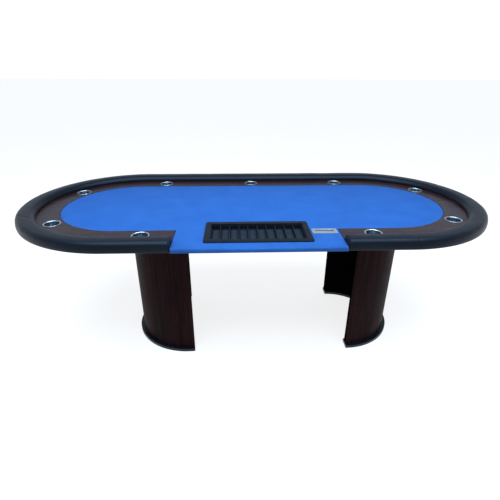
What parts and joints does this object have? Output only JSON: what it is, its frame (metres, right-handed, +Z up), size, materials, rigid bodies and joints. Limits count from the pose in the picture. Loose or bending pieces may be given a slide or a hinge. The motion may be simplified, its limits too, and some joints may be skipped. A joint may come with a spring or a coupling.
{
  "type": "poker table",
  "caption": "Oval casino poker table with a padded rail, a wooden racetrack with drop-in cup holders, a cloth playing surface, a chip tray and a drop slot, on half-round legs.",
  "frame": {"origin": "on the floor under the middle of the top", "axes": "+X along the table's length, -Y towards the dealer's cut-out, +Z up"},
  "size_m": [2.4398, 1.116, 0.783],
  "materials": {
    "stainless": "polished stainless steel",
    "tray_plastic": "satin black moulded plastic",
    "slot_metal": "polished steel",
    "playing_cloth": "bright blue speed cloth",
    "foam": "closed-cell foam",
    "plywood": "bare plywood",
    "racetrack_veneer": "dark mahogany, satin lacquer",
    "rail_vinyl": "black upholstery vinyl",
    "frame_timber": "black-stained timber",
    "leg_veneer": "dark mahogany veneer, satin lacquer",
    "foot_black": "black paint",
    "fastener_steel": "zinc plated"
  },
  "bodies": {
    "table": {"deck_board": "plywood", "deck_screws": "fastener_steel", "drop_slot_plate": "slot_metal", "drop_slot_screws": "fastener_steel", "foam_underlay": "foam", "foot_screws": "fastener_steel", "frame_beam_back": "frame_timber", "frame_beam_front": "frame_timber", "frame_cross_left": "frame_timber", "frame_cross_left_end": "frame_timber", "frame_cross_right": "frame_timber", "frame_cross_right_end": "frame_timber", "frame_outrigger_back_left": "frame_timber", "frame_outrigger_back_right": "frame_timber", "frame_outrigger_front_left": "frame_timber", "frame_outrigger_front_right": "frame_timber", "frame_screws": "fastener_steel", "leg_bolts": "fastener_steel", "leg_foot_left": "foot_black", "leg_foot_right": "foot_black", "leg_shell_left": "leg_veneer", "leg_shell_right": "leg_veneer", "leg_top_plate_left": "plywood", "leg_top_plate_right": "plywood", "leg_washers": "fastener_steel", "playing_cloth": "playing_cloth", "racetrack_back": "racetrack_veneer", "racetrack_front_left": "racetrack_veneer", "racetrack_front_right": "racetrack_veneer", "racetrack_left": "racetrack_veneer", "racetrack_right": "racetrack_veneer", "racetrack_screws": "fastener_steel", "rail_bolts": "fastener_steel", "rail_core_back": "plywood", "rail_core_front_left": "plywood", "rail_core_front_right": "plywood", "rail_core_left": "plywood", "rail_core_right": "plywood", "rail_cushion_back": "rail_vinyl", "rail_cushion_front_left": "rail_vinyl", "rail_cushion_front_right": "rail_vinyl", "rail_cushion_left": "rail_vinyl", "rail_cushion_right": "rail_vinyl", "rail_washers": "fastener_steel"},
    "cup_holder_back_left": {"cup_holder_back_left": "stainless"},
    "cup_holder_back_middle": {"cup_holder_back_middle": "stainless"},
    "cup_holder_back_right": {"cup_holder_back_right": "stainless"},
    "cup_holder_front_left": {"cup_holder_front_left": "stainless"},
    "cup_holder_front_right": {"cup_holder_front_right": "stainless"},
    "cup_holder_left_back": {"cup_holder_left_back": "stainless"},
    "cup_holder_left_front": {"cup_holder_left_front": "stainless"},
    "cup_holder_right_back": {"cup_holder_right_back": "stainless"},
    "cup_holder_right_front": {"cup_holder_right_front": "stainless"},
    "chip_tray": {"chip_tray": "tray_plastic"}
  },
  "joints": [
    {"name": "cup_lift_back_left", "type": "slide", "parent": "table", "child": "cup_holder_back_left", "axis": [0, 0, 1], "range_m": [0, 0.12]},
    {"name": "cup_lift_back_middle", "type": "slide", "parent": "table", "child": "cup_holder_back_middle", "axis": [0, 0, 1], "range_m": [0, 0.12]},
    {"name": "cup_lift_back_right", "type": "slide", "parent": "table", "child": "cup_holder_back_right", "axis": [0, 0, 1], "range_m": [0, 0.12]},
    {"name": "cup_lift_front_left", "type": "slide", "parent": "table", "child": "cup_holder_front_left", "axis": [0, 0, 1], "range_m": [0, 0.12]},
    {"name": "cup_lift_front_right", "type": "slide", "parent": "table", "child": "cup_holder_front_right", "axis": [0, 0, 1], "range_m": [0, 0.12]},
    {"name": "cup_lift_left_back", "type": "slide", "parent": "table", "child": "cup_holder_left_back", "axis": [0, 0, 1], "range_m": [0, 0.12]},
    {"name": "cup_lift_left_front", "type": "slide", "parent": "table", "child": "cup_holder_left_front", "axis": [0, 0, 1], "range_m": [0, 0.12]},
    {"name": "cup_lift_right_back", "type": "slide", "parent": "table", "child": "cup_holder_right_back", "axis": [0, 0, 1], "range_m": [0, 0.12]},
    {"name": "cup_lift_right_front", "type": "slide", "parent": "table", "child": "cup_holder_right_front", "axis": [0, 0, 1], "range_m": [0, 0.12]},
    {"name": "tray_lift", "type": "slide", "parent": "table", "child": "chip_tray", "axis": [0, 0, 1], "range_m": [0, 0.1]}
  ]
}
